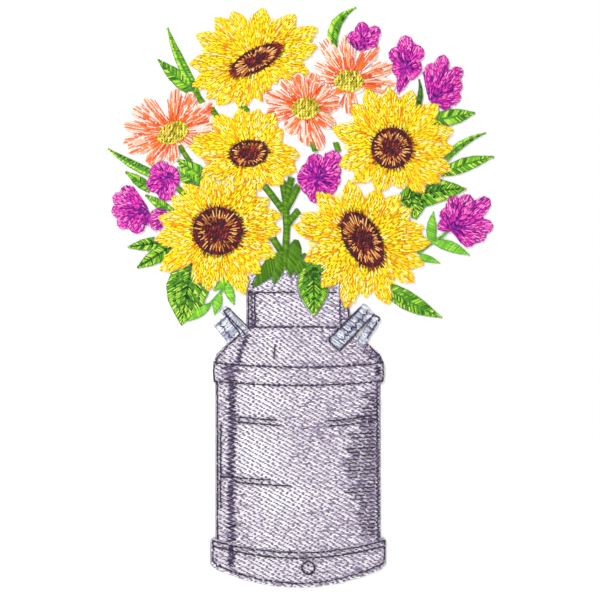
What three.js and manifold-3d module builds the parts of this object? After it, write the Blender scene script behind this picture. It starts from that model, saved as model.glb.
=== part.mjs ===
// A machine-embroidered applique: a bouquet of sunflowers, daisies and small blossoms in a milk churn, stitched
// on white cloth over a cut-away backing and trimmed close to the stitching. Millimetres, +Z up the motif.
// The applique is flat: its back lies in the plane Y = 0, which is what gets sewn or ironed on, and its
// stitched front faces -Y. The origin is the middle of the motif's height and width, on the back.
import * as THREE from 'three';
import { mergeVertices } from 'three/addons/utils/BufferGeometryUtils.js';
import Module from 'manifold-3d';

const wasm = await Module();
wasm.setup();

// ---- Layers, back to front ----
const BOBBIN_THICKNESS = 0.3;
const BACKING_THICKNESS = 0.4;
const CLOTH_THICKNESS = 0.5;
const PETAL_PILE = 1.1; // how far each kind of stitching stands off what it lies on
const DISC_PILE = 0.5;
const RING_PILE = 0.3;
const DAISY_PILE = 0.8;
const DAISY_CENTRE_PILE = 0.5;
const BLOSSOM_PILE = 1.0;
const LEAF_PILE = 0.7;
const CHURN_PILE = 0.7;
const OUTLINE_PILE = 0.4;

// ---- Margins in the plane of the cloth ----
const CLOTH_MARGIN = 1.6; // cloth left outside the stitching
const BACKING_MARGIN = 1.2;
const BOBBIN_MARGIN = 0.8;
const STITCH_GAP = 0.3; // between two neighbouring thread fills
const SHARPEST_CORNER = 1.25; // how far a grown outline's corner may reach, in margins
const FINEST_STEP = 0.02; // the least step that an outline keeps
const CUTTER_START = 1; // how far a cutting slab starts behind the face that it cuts
const CUTTER_DEPTH = 4; // more than any stitching stands off its face, and that start

// ---- Flowers ----
const PETAL_HALF_WIDTH = 3.4;
const RING_INNER = 0.52; // the tan ring's inner and outer edge, as shares of the disc's half axes
const RING_OUTER = 0.8;
const UNDER_DISC = 1.5; // how far past the disc's edge the petals' stitching is solid
const DAISY_PETAL_WIDTH = 4.6;
const UNDER_DAISY_CENTRE = 1;
const STEM_WIDTH = 2.0;

// ---- Milk churn, from the mouth down ----
const CHURN_X = -0.6; // its middle, left of the motif's
const MOUTH_Z = 7.4;
const RIM_HEIGHT = 6.2;
const NECK_HEIGHT = 9.9;
const SHOULDER_HEIGHT = 10.6;
const BAND_HEIGHT = 5.3;
const BODY_HEIGHT = 46;
const BASE_HEIGHT = 8.6;
const NECK_WIDTH = 29.6;
const BODY_WIDTH = 47.5;
const BAND_OVERHANG = 0.95; // how far the band and the base stand out past each side of the body
const BASE_OVERHANG = 1.55;
const SHOULDER_FLARE = 4.8; // how far the shoulder spreads each side of the neck, down to its knee
const SHOULDER_KNEE = 0.42; // how far down it the knee is, as a share of its height
const SHOULDER_TOE = 2.4; // the height of its last, nearly upright edge
const SHOULDER_TOE_INSET = 1;
const BASE_CORNER = 1.5; // what is left off the base's two bottom corners
const MOUTH_RISE = 1.5; // how far the mouth's far edge arches up
const BAND_SAG = 1.3; // how far the round bands' edges dip in the middle
const BASE_SAG_TOP = 3.6;
const BASE_SAG_BOTTOM = 5.2;
const HANDLE_TAB_WIDTH = 4.5;
const HANDLE_BAR_WIDTH = 2.4;
const RIVET_RADIUS = 2.2;
const RIVET_OFFSET = 2.8; // right of the churn's middle
const RIVET_RISE = 0.5; // above the base's bottom corners
const OUTLINE_WIDTH = 0.7;
const SHADE_INSET = 5.1; // from the body's left side to the dark line down it
const NECK_LINE_INSET = 2.5; // from the neck's left side to its inner line
const BASE_LINE_RISE = 1.2; // from the base's bottom edge up to its line

// ---- Thread and cloth colours ----
const PETAL_YELLOW = 0xf4d634;
const DISC_BROWN = 0x4a1420;
const RING_TAN = 0xd7965a;
const DAISY_ORANGE = 0xf6b07a;
const CENTRE_OLIVE = 0xb5a63a;
const BLOSSOM_MAGENTA = 0xc147a6;
const LIGHT_GREEN = 0x78be3c;
const DARK_GREEN = 0x3c7814;
const CHURN_GREY = 0xcfc8d3;
const OUTLINE_PURPLE = 0x5a4868;
const CLOTH_WHITE = 0xf7f5f2;
const BACKING_WHITE = 0xffffff;
const BOBBIN_WHITE = 0xf2f0ec;

// ---- Outlines in the cloth's plane, as lists of [x, z] ----

const along = (from, to) => {
  const dx = to[0] - from[0];
  const dz = to[1] - from[1];
  const length = Math.hypot(dx, dz);
  return { dx: dx / length, dz: dz / length, length };
};

// A shape symmetric about the line from base to tip: stations are [share of the length, half width], and the
// line itself may bow sideways by bend.
function spindle(base, tip, stations, bend = 0) {
  const { dx, dz, length } = along(base, tip);
  const at = (share, side) => {
    const across = side + bend * 4 * share * (1 - share);
    return [base[0] + dx * share * length - dz * across, base[1] + dz * share * length + dx * across];
  };
  const right = stations.map(([share, half]) => at(share, -half));
  const left = stations.map(([share, half]) => at(share, half)).reverse();
  return [...right, tip, ...left];
}

const petal = (centre, tip) => {
  const w = PETAL_HALF_WIDTH;
  return spindle(centre, tip, [[0, 0.5 * w], [0.35, 0.85 * w], [0.62, w], [0.86, 0.64 * w]]);
};

const lobe = (base, end, width) => {
  const w = width / 2;
  return spindle(base, end, [[0, 0.25 * w], [0.4, 0.7 * w], [0.72, w], [0.93, 0.62 * w]]);
};

const leaf = (base, tip, width, bend = 0) => {
  const w = width / 2;
  const stations = [[0, 0.3 * w], [0.2, 0.85 * w], [0.42, w], [0.65, 0.8 * w], [0.85, 0.38 * w]];
  return spindle(base, tip, stations, bend);
};

const blade = (base, tip, width, bend = 0) => {
  const w = width / 2;
  return spindle(base, tip, [[0, 0.9 * w], [0.25, w], [0.5, 0.9 * w], [0.75, 0.55 * w]], bend);
};

// A strip of even width along a line of points.
function ribbon(points, width) {
  const side = (half) =>
    points.map((p, i) => {
      const a = points[Math.max(i - 1, 0)];
      const b = points[Math.min(i + 1, points.length - 1)];
      const { dx, dz } = along(a, b);
      return [p[0] - dz * half, p[1] + dx * half];
    });
  return [...side(-width / 2), ...side(width / 2).reverse()];
}

function ellipse([x, z], a, b, tilt = 0, sides = 24) {
  const turn = THREE.MathUtils.degToRad(tilt);
  return Array.from({ length: sides }, (_, i) => {
    const t = (i / sides) * 2 * Math.PI;
    const u = a * Math.cos(t);
    const v = b * Math.sin(t);
    return [x + u * Math.cos(turn) - v * Math.sin(turn), z + u * Math.sin(turn) + v * Math.cos(turn)];
  });
}

// The edge of a round band as it is seen from the front: it dips by sag in the middle.
function sagging(halfWidth, z, sag, steps = 8) {
  return Array.from({ length: steps + 1 }, (_, i) => {
    const u = (2 * i) / steps - 1;
    return [CHURN_X + u * halfWidth, z - sag * (1 - u * u)];
  });
}

const between = (lower, upper) => [...lower, ...[...upper].reverse()];

// The same outline moved outwards by margin, with sharp corners pulled in to a little over the margin.
function grow(points, margin) {
  if (!margin) return points;
  const n = points.length;
  return points.map((p, i) => {
    const into = along(points[(i + n - 1) % n], p);
    const out = along(p, points[(i + 1) % n]);
    const nx = into.dz + out.dz;
    const nz = -(into.dx + out.dx);
    const size = Math.hypot(nx, nz);
    const reach = margin * Math.min(2 / size, SHARPEST_CORNER);
    return [p[0] + (nx / size) * reach, p[1] + (nz / size) * reach];
  });
}

// ---- Solids ----

function solidOf(geometry) {
  geometry.deleteAttribute('normal');
  geometry.deleteAttribute('uv');
  const merged = mergeVertices(geometry, 1e-4);
  const vertProperties = merged.attributes.position.array;
  const triVerts = new Uint32Array(merged.index.array);
  return new wasm.Manifold(new wasm.Mesh({ numProp: 3, vertProperties, triVerts }));
}

// Joined slabs keep the seams between them as needless edges: this takes them out.
const tidied = (solid) => solid.asOriginal().simplify(FINEST_STEP);

// A slab of the outlines, joined, from y = -back to y = -(back + thickness).
function slab(outlines, back, thickness, margin = 0) {
  const solids = outlines.map((points) => {
    const ring = grow(points, margin).map(([x, z]) => new THREE.Vector2(x, z));
    if (THREE.ShapeUtils.isClockWise(ring)) ring.reverse();
    const plate = new THREE.ExtrudeGeometry(new THREE.Shape(ring), { depth: thickness, bevelEnabled: false });
    return solidOf(plate.rotateX(Math.PI / 2).translate(0, -back, 0));
  });
  return tidied(solids.reduce((joined, next) => joined.add(next)));
}

const largestBody = (solid) =>
  solid.decompose().reduce((best, next) => (next.volume() > best.volume() ? next : best));

const group = new THREE.Group();

function addMesh(name, solid, color, roughness = 0.55, metalness = 0) {
  const mesh = solid.getMesh();
  const geometry = new THREE.BufferGeometry();
  geometry.setAttribute('position', new THREE.BufferAttribute(mesh.vertProperties, 3));
  geometry.setIndex(new THREE.BufferAttribute(mesh.triVerts, 1));
  geometry.computeVertexNormals();
  const made = new THREE.Mesh(geometry, new THREE.MeshStandardMaterial({ color, roughness, metalness }));
  made.name = name;
  group.add(made);
}

const CLOTH_FRONT = BOBBIN_THICKNESS + BACKING_THICKNESS + CLOTH_THICKNESS;

// Every fill lies on the cloth. It stops a stitch gap short of the fills that were added before it, which lie
// in front of it in the picture, and scraps that they cut off it are not stitched.
const stitched = [];
let taken = null;

function addFill(name, outlines, pile, color) {
  const whole = slab(outlines, CLOTH_FRONT, pile);
  addMesh(name, taken ? largestBody(tidied(whole.subtract(taken))) : whole, color);
  const cutter = slab(outlines, CLOTH_FRONT - CUTTER_START, CUTTER_DEPTH, STITCH_GAP);
  taken = taken ? taken.add(cutter) : cutter;
  stitched.push(...outlines);
}

// ---- Sunflowers and daisies: tips are [x, z] from the flower's middle ----

function addSunflower(name, centre, [a, b, tilt], tips) {
  const place = ([x, z]) => [centre[0] + x, centre[1] + z];
  const outlines = tips.map((tip) => petal(centre, place(tip)));
  outlines.push(ellipse(centre, a + UNDER_DISC, b + UNDER_DISC, tilt));
  addFill(name + '_petals', outlines, PETAL_PILE, PETAL_YELLOW);
  const petalFront = CLOTH_FRONT + PETAL_PILE;
  addMesh(name + '_disc', slab([ellipse(centre, a, b, tilt)], petalFront, DISC_PILE), DISC_BROWN);
  const discFront = petalFront + DISC_PILE;
  const rim = ellipse(centre, a * RING_OUTER, b * RING_OUTER, tilt);
  const hole = ellipse(centre, a * RING_INNER, b * RING_INNER, tilt);
  const ringCut = slab([hole], discFront - CUTTER_START, CUTTER_DEPTH);
  addMesh(name + '_ring', slab([rim], discFront, RING_PILE).subtract(ringCut), RING_TAN);
}

function addDaisy(name, centre, [a, b, tilt], tips) {
  const place = ([x, z]) => [centre[0] + x, centre[1] + z];
  const outlines = tips.map((tip) => lobe(centre, place(tip), DAISY_PETAL_WIDTH));
  outlines.push(ellipse(centre, a + UNDER_DAISY_CENTRE, b + UNDER_DAISY_CENTRE, tilt));
  addFill(name + '_petals', outlines, DAISY_PILE, DAISY_ORANGE);
  const petalFront = CLOTH_FRONT + DAISY_PILE;
  const button = ellipse(centre, a, b, tilt, 16);
  addMesh(name + '_centre', slab([button], petalFront, DAISY_CENTRE_PILE), CENTRE_OLIVE);
}

function addBlossom(name, heart, lobeWidth, ends, tail = []) {
  const outlines = ends.map((end) => lobe(heart, end, lobeWidth));
  addFill(name, [...outlines, ...tail], BLOSSOM_PILE, BLOSSOM_MAGENTA);
}

addSunflower('sunflower_lower_left', [-24, 19], [7.2, 7, 0], [
  [-18.5, -2.5], [-17.5, 4], [-17, -11.5], [-13.5, 10], [-10, 14], [-3.5, 17], [4, 16.5], [11, 15],
  [15, 9.5], [18.5, 5], [18.5, 0.5], [17, -7.5], [12.5, -12.5], [8, -18.5], [-3, -17.5], [-6.5, -15.5],
]);
addSunflower('sunflower_lower_right', [18, 16.5], [8.8, 5.2, -60], [
  [-13.5, 14], [-4, 17.5], [5, 15], [11, 13], [14.5, 9], [18, 3.5], [20, -1], [18, -7.5],
  [15, -12.5], [7.5, -19], [1, -17], [-5, -20], [-12, -14], [-17, -6], [-20.5, 4], [-18.5, 7],
]);
addSunflower('sunflower_middle', [-15, 41.5], [5.6, 3.9, 8], [
  [-17.5, 2], [-16.5, 4.5], [-10.5, 11.5], [-2.5, 13.5], [3, 13], [7.5, 12], [10, 7], [15, -0.5],
  [14, -5], [10, -9], [3, -11], [-6, -10], [-14, -7],
]);
addSunflower('sunflower_right', [26.5, 43], [6, 6, 0], [
  [-7.5, 17.5], [-1, 18], [6, 17], [13.5, 13], [18, 5.5], [18, 0], [17.5, -6.5], [14, -10],
  [9.5, -13], [3.5, -12], [-4, -13], [-11, -10], [-15.5, -5], [-17.5, 6], [-11.5, 13],
]);
addBlossom('blossom_middle', [5, 34], 5.4, [
  [11, 42], [4, 41.5], [0.5, 38], [-1, 35], [0.5, 30.5], [4.5, 27], [10.5, 31], [11.7, 34.5], [11.5, 38],
]);
addBlossom('blossom_top', [16.8, 71.6], 4.2, [[14.9, 77], [18.2, 79.8], [22.8, 78.2], [22.3, 75.4]]);
addBlossom('blossom_tall', [30.8, 66.4], 5, [
  [30.4, 75.8], [34.8, 72.8], [26.4, 72], [26.6, 66], [35.2, 67], [34, 64],
], [blade([31.2, 67], [28.2, 58.6], 4)]);
addBlossom('blossom_upper_right', [37.8, 56.9], 4.8, [
  [38, 67.8], [41.8, 70.2], [46.8, 66.4], [46.8, 62], [46.6, 58.2], [44, 56.2],
]);
addDaisy('daisy_middle', [1.5, 54.5], [4, 3.2, 10], [
  [-12.5, 4], [-12, -2], [-7.5, 8.5], [-2.5, 10.5], [2.5, 10.5], [7, 7], [10.5, 2], [8.5, -5],
  [4.5, -12], [0, -11], [-6, -7.5],
]);
addDaisy('daisy_right', [14, 62.5], [4.3, 3.1, 0], [
  [-8, 12], [-0.5, 13.5], [8, 11], [13, 4.5], [13.8, -1.5], [0.5, -10], [-5.5, -7], [-10, -1], [-10.5, 5],
]);
addSunflower('sunflower_top', [-13, 68.5], [7.9, 3.3, 28], [
  [2, 15.5], [11.5, 13.5], [18, 9.5], [18, 4], [16, -4.5], [9.5, -6], [-7, 14.5], [-12, 12.5],
  [-17.5, 7.5], [-19.5, -1], [-18.5, -7.5], [-14.5, -11], [-11.5, -13], [-5, -14], [2, -12],
]);
addDaisy('daisy_left', [-37, 47.5], [4.7, 3, 25], [
  [-14.5, 2.6], [-14.8, -2.6], [-13.5, -5.2], [-7.5, -9], [-0.6, -8.8], [5.8, -3], [11.8, 2.6], [11.8, 8.6],
  [6.4, 12], [0.9, 13], [-8.8, 10], [-12.2, 7],
]);
addBlossom('blossom_left_upper', [-38.7, 34.4], 5, [
  [-43.3, 37.4], [-41.3, 38.8], [-37.3, 38], [-35, 35], [-44.4, 31.5], [-39.3, 27.7], [-37.3, 30],
]);
addBlossom('blossom_left_outer', [-44.6, 25.2], 5, [
  [-52, 31.6], [-54.6, 29], [-55, 24.8], [-53.2, 20.6], [-48.8, 18.6], [-45.9, 20.8],
]);
addBlossom('blossom_left_lower', [-37, 23.8], 3.6, [[-43.6, 23.8], [-44.6, 21.6], [-43.4, 19.8]]);
addBlossom('blossom_right', [44.2, 19.3], 5.2, [
  [40.5, 22.2], [42.2, 26], [44.8, 29.2], [49.2, 29.6], [55, 28.4], [52.8, 24], [56, 20.6], [54, 17.4],
  [50.9, 15.7],
]);

// ---- Leaves, blades and stems ----

const addGreen = (name, outlines, color = LIGHT_GREEN) => addFill(name, outlines, LEAF_PILE, color);

addGreen('leaf_over_neck', [leaf([3.6, 10], [4, -5.7], 9.2)]);
addGreen('leaf_heart_left', [leaf([-31.5, 10], [-34.6, -8.4], 12.6)]);
addGreen('leaf_top_left', [
  blade([-31.2, 61.2], [-38.8, 78.3], 2.8, 0.5),
  leaf([-29.5, 58.6], [-41.6, 69], 4.6, 0.3),
]);
addGreen('blade_top', [blade([9.2, 72.3], [16.2, 84], 3.4, 2.5)]);
addGreen('blade_under_blossom', [blade([33, 53.5], [34.3, 63.2], 1.8, -1.1)], DARK_GREEN);
addGreen('leaf_right_upper', [leaf([38, 51], [50.8, 53.3], 4.8)]);
addGreen('blade_right', [blade([40.6, 38.4], [54, 47.6], 2.4, 1.3)]);
addGreen('leaf_right_long', [leaf([40.6, 35.4], [56.3, 40.6], 4.2, 0.5)]);
addGreen('leaf_right_veined', [
  leaf([28.5, 27.5], [48.3, 31.2], 8, 1.2),
  leaf([31.5, 31.5], [33.5, 22.3], 9.5),
]);
addGreen('leaf_lower_right', [leaf([23.5, 3.5], [41.2, -6.2], 5.6, -0.5)]);
addGreen('sprig_right', [
  ribbon([[34, 12.5], [38.5, 15.8], [41, 17.4], [43.6, 19.6]], 0.8),
  leaf([38.2, 15.2], [38.6, 24.8], 3, 0.4),
  leaf([38.6, 15.8], [49.2, 11.9], 3.2, 0.5),
  leaf([33, 11.8], [40.6, 9.6], 2.2, 0.3),
]);
addGreen('sprig_left', [
  ribbon([[-27, -2.8], [-23.6, 0.6], [-20.4, 5.2]], 0.8),
  leaf([-21.4, 4.2], [-19.2, -2.4], 2.8, -0.2),
  leaf([-23.4, 1], [-25, -5.4], 2.8),
  leaf([-26.2, -2.2], [-32.6, -7.2], 2.8),
  leaf([-20.2, 5.4], [-25.4, 1.6], 2.4),
]);
addGreen('leaf_left_lower', [
  leaf([-38.5, 16], [-50.4, 14.3], 3.8),
  leaf([-37.5, 14.5], [-47.6, 8.2], 4.4),
]);
addGreen('blade_left', [blade([-42.5, 35.4], [-56, 43], 2.6, 0.5)]);
addGreen('leaflet_left', [leaf([-42.5, 30.4], [-51, 36.4], 3.2)]);
addGreen('leaflet_by_blossom', [leaf([-36.5, 24], [-45.2, 29.6], 3)]);
addGreen('leaf_by_daisy', [leaf([-26, 33.5], [-36.2, 39.9], 4.6), leaf([-28, 31.5], [-37.4, 37.8], 4.6)]);
addGreen('stem_of_daisy', [ribbon([[-35.2, 45], [-34.2, 42.2], [-32, 39]], 1.5)], DARK_GREEN);
addGreen('stems', [
  ribbon([[-2.6, 34.6], [-4.4, 27], [-4, 20], [-4.6, 8]], STEM_WIDTH),
  ribbon([[-0.6, 32.2], [-2.4, 28.5], [-4.4, 25]], STEM_WIDTH),
  ribbon([[-5.2, 33.5], [-4.4, 28]], STEM_WIDTH),
  ribbon([[-10.8, 32.6], [-7.6, 28.4], [-4.6, 24.4]], STEM_WIDTH),
  ribbon([[-0.6, 25], [-3.8, 21]], STEM_WIDTH),
  ribbon([[-8.4, 17.4], [-5.2, 12.4]], STEM_WIDTH),
  leaf([-3.4, 13], [-13.8, 2.4], 5, -0.6),
  leaf([-5.5, 12.5], [-7.6, 3.6], 3.6),
  leaf([-1.2, 16.5], [-3, 5.6], 4.4),
  leaf([1.6, 12.5], [-1.4, 6], 3.4),
], DARK_GREEN);

// ---- Milk churn ----

const rimZ = MOUTH_Z - RIM_HEIGHT;
const neckZ = rimZ - NECK_HEIGHT;
const bandTopZ = neckZ - SHOULDER_HEIGHT;
const bandZ = bandTopZ - BAND_HEIGHT;
const bodyZ = bandZ - BODY_HEIGHT;
const baseZ = bodyZ - BASE_HEIGHT;
const neckHalf = NECK_WIDTH / 2;
const bodyHalf = BODY_WIDTH / 2;
const bandHalf = bodyHalf + BAND_OVERHANG;
const baseHalf = bodyHalf + BASE_OVERHANG;
const kneeHalf = neckHalf + SHOULDER_FLARE;
const kneeZ = neckZ - SHOULDER_KNEE * SHOULDER_HEIGHT;

// The handles stand out from the shoulder just above its knee: a broad tab and, beside it, a narrow bar.
const handleZ = kneeZ + 0.7;
const leftHandle = [CHURN_X - neckHalf - 1.5, handleZ];
const rightHandle = [CHURN_X + neckHalf - 0.5, handleZ];
const offset = ([x, z], dx, dz) => [x + dx, z + dz];
const rightTab = ribbon([offset(rightHandle, -4.3, -1.8), offset(rightHandle, 6.3, 8.6)], HANDLE_TAB_WIDTH);

addFill('handle_right', [
  rightTab,
  ribbon([offset(rightHandle, 3.6, -1.6), offset(rightHandle, 8.6, 6.6)], HANDLE_BAR_WIDTH),
], CHURN_PILE, CHURN_GREY);
addFill('handle_left', [
  ribbon([offset(leftHandle, -6.6, 5.6), offset(leftHandle, -2.2, 0.2)], HANDLE_TAB_WIDTH),
  ribbon([offset(leftHandle, -5.6, 9), offset(leftHandle, 0.6, 1.8)], HANDLE_BAR_WIDTH),
], CHURN_PILE, CHURN_GREY);
addFill('churn_neck', [between(
  [[CHURN_X - neckHalf, neckZ], [CHURN_X + neckHalf, neckZ]],
  sagging(neckHalf, MOUTH_Z - MOUTH_RISE, -MOUTH_RISE),
)], CHURN_PILE, CHURN_GREY);
addFill('churn_shoulder', [between(
  sagging(bandHalf, bandTopZ + STITCH_GAP, BAND_SAG),
  [
    [CHURN_X - bandHalf + SHOULDER_TOE_INSET, bandTopZ + SHOULDER_TOE],
    [CHURN_X - kneeHalf, kneeZ],
    [CHURN_X - neckHalf, neckZ - STITCH_GAP],
    [CHURN_X + neckHalf, neckZ - STITCH_GAP],
    [CHURN_X + kneeHalf, kneeZ],
    [CHURN_X + bandHalf - SHOULDER_TOE_INSET, bandTopZ + SHOULDER_TOE],
  ],
)], CHURN_PILE, CHURN_GREY);
addFill('churn_band', [between(
  sagging(bandHalf, bandZ + STITCH_GAP, BAND_SAG),
  sagging(bandHalf, bandTopZ, BAND_SAG),
)], CHURN_PILE, CHURN_GREY);
addFill('churn_body', [between(
  sagging(bodyHalf, bodyZ + STITCH_GAP, BASE_SAG_TOP),
  sagging(bodyHalf, bandZ, BAND_SAG),
)], CHURN_PILE, CHURN_GREY);
addFill('churn_base', [between(
  sagging(baseHalf - BASE_CORNER, baseZ, BASE_SAG_BOTTOM),
  [
    [CHURN_X - baseHalf, baseZ + BASE_CORNER],
    ...sagging(baseHalf, bodyZ, BASE_SAG_TOP),
    [CHURN_X + baseHalf, baseZ + BASE_CORNER],
  ],
)], CHURN_PILE, CHURN_GREY);

// Dark running stitch over the fills: the churn's edges, its bands and the right handle's frame.
const churnFront = CLOTH_FRONT + CHURN_PILE;
const inset = OUTLINE_WIDTH / 2;
const line = (points) => ribbon(points, OUTLINE_WIDTH);
const lineAcross = (halfWidth, z, sag) => line(sagging(halfWidth, z, sag));
const neckLeft = CHURN_X - neckHalf + inset;
const neckLineX = neckLeft + NECK_LINE_INSET;
const sideLeft = CHURN_X - bodyHalf + inset;
const shadeX = CHURN_X - bodyHalf + SHADE_INSET;
const toeLeft = CHURN_X - bandHalf + SHOULDER_TOE_INSET + inset;
const baseLeft = CHURN_X - baseHalf + inset;
const lines = [
  line([[neckLeft, rimZ + OUTLINE_WIDTH], [neckLeft, neckZ]]),
  line([[neckLineX, rimZ], [neckLineX, neckZ]]),
  lineAcross(neckHalf - inset, rimZ, 0),
  lineAcross(neckHalf - inset, neckZ - STITCH_GAP / 2, 0),
  line([
    [neckLeft, neckZ], [CHURN_X - kneeHalf + inset, kneeZ],
    [toeLeft, bandTopZ + SHOULDER_TOE - inset], [toeLeft - inset, bandTopZ],
  ]),
  lineAcross(bandHalf - inset, bandTopZ + STITCH_GAP / 2, BAND_SAG),
  lineAcross(bandHalf - inset, bandZ + STITCH_GAP / 2, BAND_SAG),
  line([[shadeX, bandTopZ], [shadeX, bodyZ]]),
  line([[sideLeft, bandZ], [sideLeft, bodyZ]]),
  lineAcross(baseHalf - inset, bodyZ + STITCH_GAP / 2, BASE_SAG_TOP),
  line([
    [baseLeft, bodyZ], [baseLeft, baseZ + BASE_CORNER],
    [baseLeft + BASE_CORNER, baseZ + BASE_LINE_RISE - inset],
  ]),
  lineAcross(baseHalf - BASE_CORNER - inset, baseZ + BASE_LINE_RISE, BASE_SAG_BOTTOM),
];
// The tab lies over the churn, so their lines stop inside its frame.
const frame = slab([rightTab], churnFront, OUTLINE_PILE);
const frameHole = slab([grow(rightTab, -OUTLINE_WIDTH)], churnFront - CUTTER_START, CUTTER_DEPTH);
const underTab = slab([grow(rightTab, -inset)], churnFront - CUTTER_START, CUTTER_DEPTH);
// Where a flower or a leaf lies over the churn, its outline stops too.
const overChurn = stitched.slice(0, stitched.indexOf(rightTab));
const inFront = slab(overChurn, CLOTH_FRONT - CUTTER_START, CUTTER_DEPTH, STITCH_GAP);
const churnLines = slab(lines, churnFront, OUTLINE_PILE).subtract(underTab);
const outline = churnLines.add(frame.subtract(frameHole)).subtract(inFront);
addMesh('churn_outline', largestBody(tidied(outline)), OUTLINE_PURPLE);

const rivet = [CHURN_X + RIVET_OFFSET, baseZ + RIVET_RISE];
const rivetRing = slab([ellipse(rivet, RIVET_RADIUS, RIVET_RADIUS, 0, 16)], churnFront, OUTLINE_PILE);
const rivetHole = RIVET_RADIUS - OUTLINE_WIDTH;
const rivetCut = slab([ellipse(rivet, rivetHole, rivetHole, 0, 16)], churnFront - CUTTER_START, CUTTER_DEPTH);
addMesh('rivet_ring', rivetRing.subtract(rivetCut), OUTLINE_PURPLE);

// ---- What it is stitched on ----

// The outer edge of the joined outlines: the cloth is trimmed round the motif and stays whole between the
// flowers. It is the longest loop of edges that only one triangle of the joined slab's front face has.
function outerEdge(outlines, margin) {
  const { vertProperties, triVerts } = slab(outlines, 0, 1, margin).getMesh();
  const edges = [];
  for (let i = 0; i < triVerts.length; i += 3) {
    const [a, b, c] = triVerts.subarray(i, i + 3);
    const onFront = [a, b, c].every((v) => vertProperties[3 * v + 1] < -0.5);
    if (onFront) edges.push([a, b], [b, c], [c, a]);
  }
  const shared = new Set(edges.map(([from, to]) => to + ' ' + from));
  const next = new Map(edges.filter(([from, to]) => !shared.has(from + ' ' + to)));
  let longest = [];
  while (next.size) {
    const loop = [];
    let v = next.keys().next().value;
    while (next.has(v)) {
      loop.push(v);
      const following = next.get(v);
      next.delete(v);
      v = following;
    }
    if (loop.length > longest.length) longest = loop;
  }
  return longest.map((v) => [vertProperties[3 * v], vertProperties[3 * v + 2]]);
}

function addGround(name, back, thickness, margin, color) {
  addMesh(name, slab([outerEdge(stitched, margin)], back, thickness), color, 0.9);
}

addGround('ground_cloth', CLOTH_FRONT - CLOTH_THICKNESS, CLOTH_THICKNESS, CLOTH_MARGIN, CLOTH_WHITE);
addGround('backing', BOBBIN_THICKNESS, BACKING_THICKNESS, BACKING_MARGIN, BACKING_WHITE);
addGround('bobbin_stitching', 0, BOBBIN_THICKNESS, BOBBIN_MARGIN, BOBBIN_WHITE);

export default group;
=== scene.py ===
import math

import bmesh
import bpy
import numpy as np
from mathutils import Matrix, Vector


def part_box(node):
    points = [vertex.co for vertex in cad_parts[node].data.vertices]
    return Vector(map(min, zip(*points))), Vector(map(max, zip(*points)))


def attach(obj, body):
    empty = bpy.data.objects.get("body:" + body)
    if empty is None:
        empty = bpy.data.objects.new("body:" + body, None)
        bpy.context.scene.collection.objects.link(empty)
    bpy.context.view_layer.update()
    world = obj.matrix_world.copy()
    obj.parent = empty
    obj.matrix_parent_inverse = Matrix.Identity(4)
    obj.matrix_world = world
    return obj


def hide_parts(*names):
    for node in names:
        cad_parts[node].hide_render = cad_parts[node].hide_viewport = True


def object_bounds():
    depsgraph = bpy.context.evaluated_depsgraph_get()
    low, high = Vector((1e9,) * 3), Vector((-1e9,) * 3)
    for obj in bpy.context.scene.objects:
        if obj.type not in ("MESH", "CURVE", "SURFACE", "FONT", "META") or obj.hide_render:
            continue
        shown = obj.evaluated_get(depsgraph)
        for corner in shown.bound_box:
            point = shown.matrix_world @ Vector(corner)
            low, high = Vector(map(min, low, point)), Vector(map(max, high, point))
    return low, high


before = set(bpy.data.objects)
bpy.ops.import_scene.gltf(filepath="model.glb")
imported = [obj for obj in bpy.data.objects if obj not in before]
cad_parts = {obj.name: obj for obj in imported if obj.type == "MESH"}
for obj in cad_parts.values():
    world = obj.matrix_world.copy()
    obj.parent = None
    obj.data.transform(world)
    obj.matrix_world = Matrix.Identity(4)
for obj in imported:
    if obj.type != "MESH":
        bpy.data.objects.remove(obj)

cad_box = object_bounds()


# ---- Ground cloth -------------------------------------------------------------------------------
# Plain white cotton, hooped for the stitching and then trimmed close round the motif.
# It shows as a narrow margin, slightly puckered by the stitches that pull on it.
MM = 0.001  # everything below is in millimetres until it goes into a mesh
CLOTH_THREAD = 0.36
CLOTH_CELL = 1.6  # the cells that the cloth is cut into, so that it can wave
PUCKER = 0.09  # how far the cloth waves out of its plane


def dye(red, green, blue):
    """A colour as it looks in white light, each part from 0 to 255."""
    parts = [c / 255 for c in (red, green, blue)]
    return tuple(c / 12.92 if c < 0.04045 else ((c + 0.055) / 1.055) ** 2.4 for c in parts) + (1,)


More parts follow.
